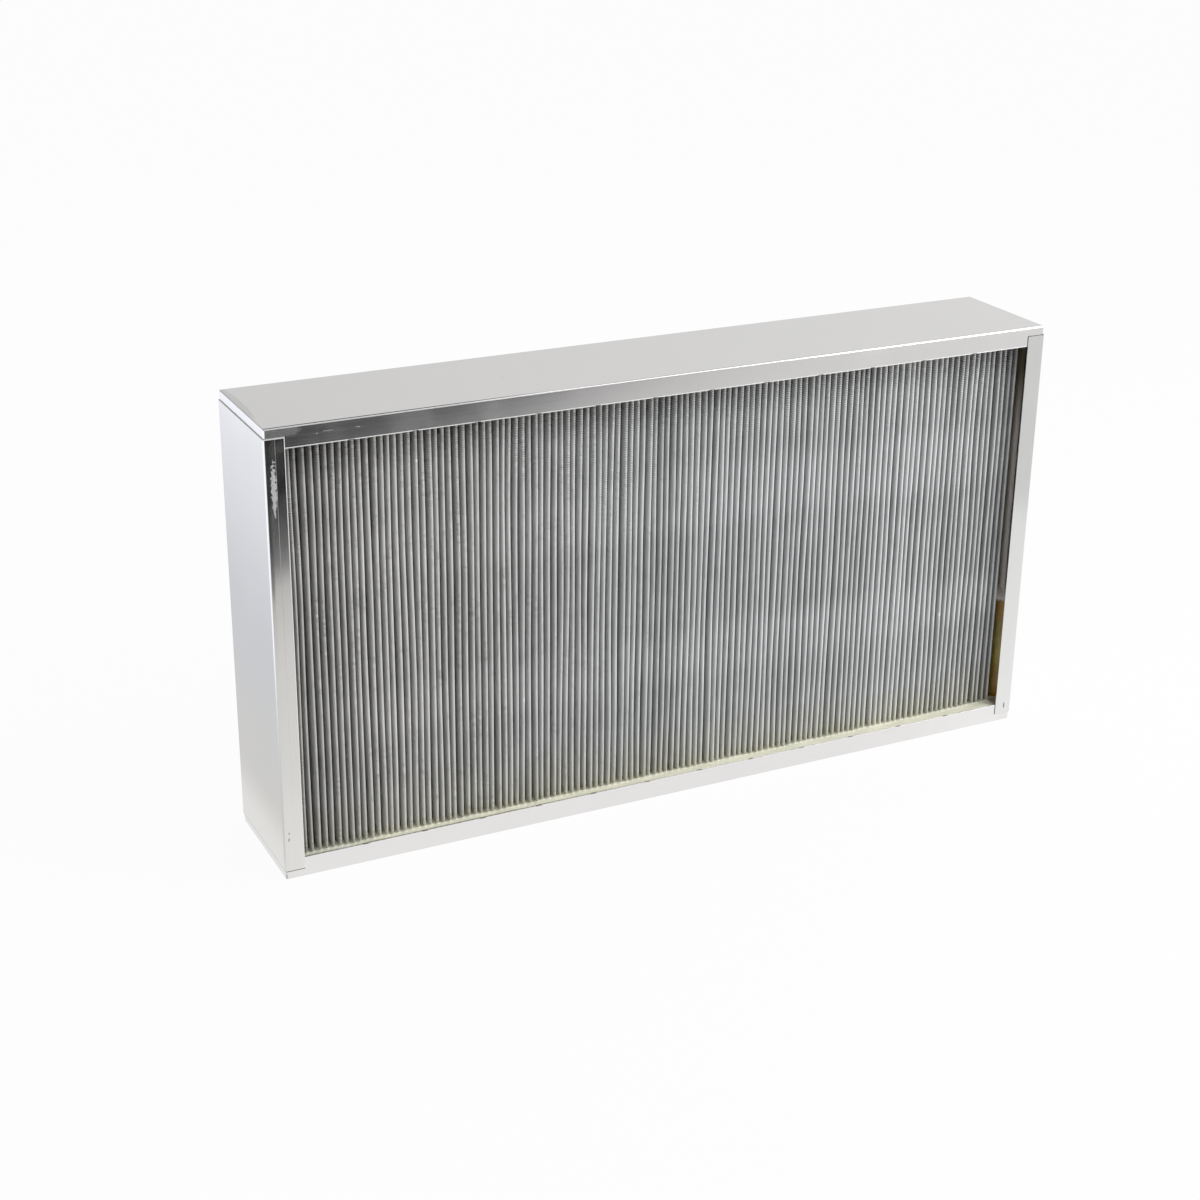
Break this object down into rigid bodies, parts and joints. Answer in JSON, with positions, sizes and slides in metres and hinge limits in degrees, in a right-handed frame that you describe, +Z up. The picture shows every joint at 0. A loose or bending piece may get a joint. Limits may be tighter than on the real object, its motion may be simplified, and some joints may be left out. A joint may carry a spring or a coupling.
{
  "type": "panel air filter",
  "caption": "Flat panel air filter: a finely pleated, wire-faced pack bedded in casting resin inside a folded sheet-metal frame.",
  "frame": {"origin": "middle of the underside of the bottom channel, on the surface that the panel stands on", "axes": "+X along the panel's width, to the right seen from the front; +Y through the panel from front to rear; +Z up"},
  "size_m": [0.57, 0.09, 0.305],
  "materials": {
    "frame_sheet": "satin",
    "media": "matte filter paper under bright fine wire mesh",
    "casting_resin": "smooth cast",
    "side_seal": "glossy"
  },
  "bodies": {
    "root": {"top_channel": "frame_sheet", "bottom_channel": "frame_sheet", "left_channel": "frame_sheet", "right_channel": "frame_sheet", "pleated_media": "media", "top_resin": "casting_resin", "bottom_resin": "casting_resin", "left_side_seal": "side_seal", "right_side_seal": "side_seal"}
  },
  "joints": []
}
